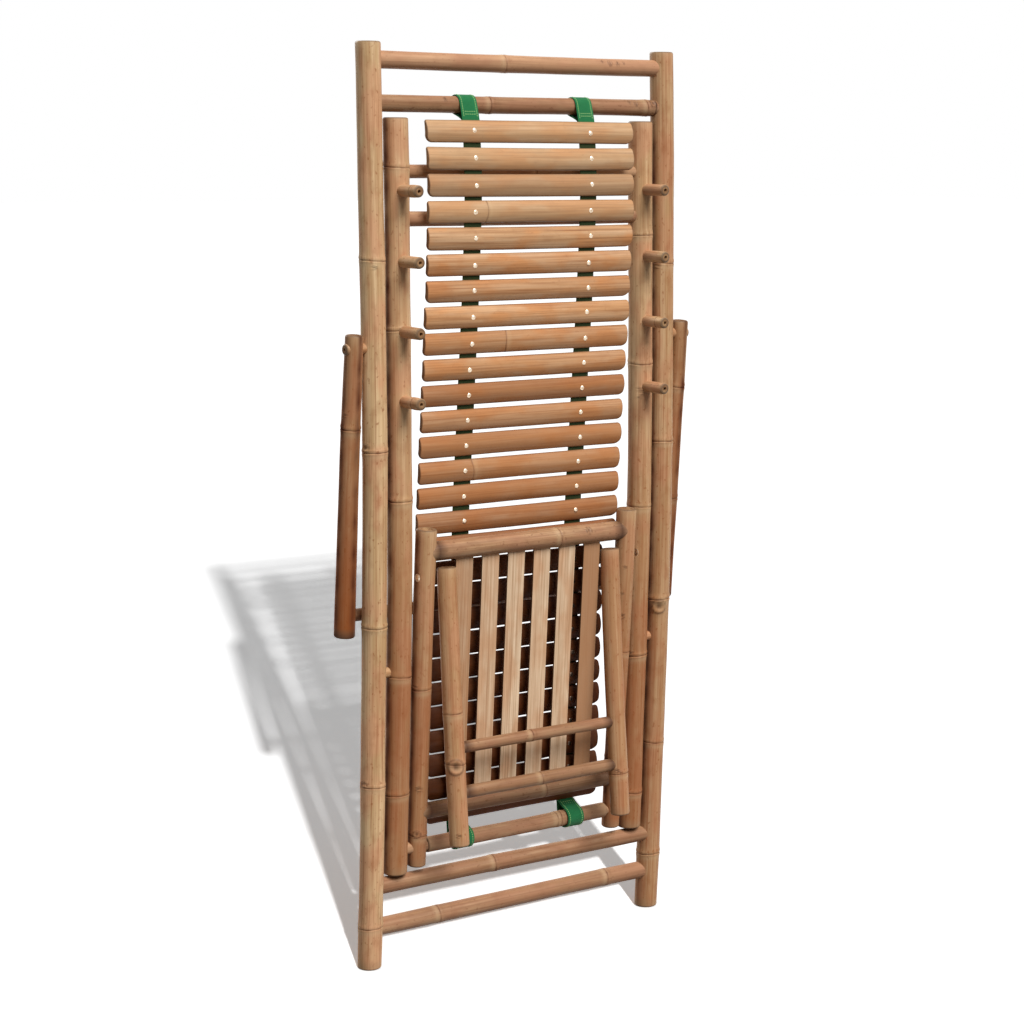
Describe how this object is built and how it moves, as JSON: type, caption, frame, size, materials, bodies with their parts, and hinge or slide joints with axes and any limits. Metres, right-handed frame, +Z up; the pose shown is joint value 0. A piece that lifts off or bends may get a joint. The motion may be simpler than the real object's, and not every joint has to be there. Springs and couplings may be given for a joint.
{
  "type": "bamboo folding recliner",
  "caption": "Folding lounge chair of bamboo poles with a slatted sling on webbing straps, a pegged recline and a swing-out footrest on its own leg, standing folded.",
  "frame": {"origin": "on the floor under the middle of the chair, folded and standing on the back poles' feet", "axes": "+Z up along the long poles, +X to the right of someone facing the slats' round side, +Y away from them"},
  "size_m": [0.6192, 0.119, 1.36],
  "materials": {
    "bamboo_pole": "satin",
    "bamboo_rail": "satin",
    "bamboo_slat": "satin",
    "bamboo_pith": "matte",
    "green_webbing": "matte",
    "rivet": "satin"
  },
  "bodies": {
    "back_frame": {"back_pole_left": "bamboo_pole", "back_pole_right": "bamboo_pole", "head_rail": "bamboo_rail", "sling_top_rail": "bamboo_rail", "foot_rail_upper": "bamboo_rail", "foot_rail_lower": "bamboo_rail", "pivot_pin_left": "bamboo_pole", "pivot_pin_right": "bamboo_pole", "sling_slat_01": "bamboo_slat", "sling_slat_02": "bamboo_slat", "sling_slat_03": "bamboo_slat", "sling_slat_04": "bamboo_slat", "sling_slat_05": "bamboo_slat", "sling_slat_06": "bamboo_slat", "sling_slat_07": "bamboo_slat", "sling_slat_08": "bamboo_slat", "sling_slat_09": "bamboo_slat", "sling_slat_10": "bamboo_slat", "sling_slat_11": "bamboo_slat", "sling_slat_12": "bamboo_slat", "sling_slat_13": "bamboo_slat", "sling_slat_14": "bamboo_slat", "sling_slat_15": "bamboo_slat", "sling_slat_16": "bamboo_slat", "sling_slat_17": "bamboo_slat", "sling_slat_18": "bamboo_slat", "sling_slat_19": "bamboo_slat", "sling_slat_20": "bamboo_slat", "sling_slat_21": "bamboo_slat", "sling_strap_left": "green_webbing", "sling_strap_right": "green_webbing"},
    "seat_frame": {"seat_pole_left": "bamboo_pole", "seat_pole_right": "bamboo_pole", "seat_cross_rail_upper": "bamboo_rail", "seat_cross_rail_lower": "bamboo_rail", "front_rail": "bamboo_rail", "sling_slat_22": "bamboo_slat", "sling_slat_23": "bamboo_slat", "sling_slat_24": "bamboo_slat", "sling_slat_25": "bamboo_slat", "sling_slat_26": "bamboo_slat", "sling_slat_27": "bamboo_slat", "sling_slat_28": "bamboo_slat"},
    "stay": {"stay_pole_left": "bamboo_pole", "stay_pole_right": "bamboo_pole", "stay_rail": "bamboo_rail"},
    "footrest": {"footrest_pole_left": "bamboo_pole", "footrest_pole_right": "bamboo_pole", "footrest_top_rail": "bamboo_rail", "footrest_bottom_rail": "bamboo_rail", "footrest_slat_1": "bamboo_pith", "footrest_slat_2": "bamboo_pith", "footrest_slat_3": "bamboo_pith", "footrest_slat_4": "bamboo_pith", "footrest_slat_5": "bamboo_pith", "footrest_slat_6": "bamboo_pith"},
    "footrest_leg": {"leg_pole_left": "bamboo_pole", "leg_pole_right": "bamboo_pole", "leg_rail_upper": "bamboo_rail", "leg_rail_lower": "bamboo_rail"}
  },
  "joints": [
    {"name": "seat_fold", "type": "hinge", "parent": "back_frame", "child": "seat_frame", "pos_m": [0, 0.01451, 0.452], "axis": [-1, 0, 0], "range_deg": [0, 49], "deforming": ["sling_strap_left", "sling_strap_right"]},
    {"name": "stay_swing", "type": "hinge", "parent": "back_frame", "child": "stay", "pos_m": [0, 0.01491, 0.93], "axis": [1, 0, 0], "range_deg": [0, 37]},
    {"name": "footrest_swing", "type": "hinge", "parent": "seat_frame", "child": "footrest", "pos_m": [0, 0.02235, 0.1765], "axis": [1, 0, 0], "range_deg": [0, 186]},
    {"name": "leg_swing", "type": "hinge", "parent": "footrest", "child": "footrest_leg", "pos_m": [0, -0.00724, 0.59351], "axis": [-1, 0, 0], "range_deg": [0, 95]}
  ],
  "couplings": [
    {"joint": "stay_swing", "follows": "seat_fold", "ratio": 0.75},
    {"joint": "footrest_swing", "follows": "seat_fold", "ratio": 3.78}
  ]
}
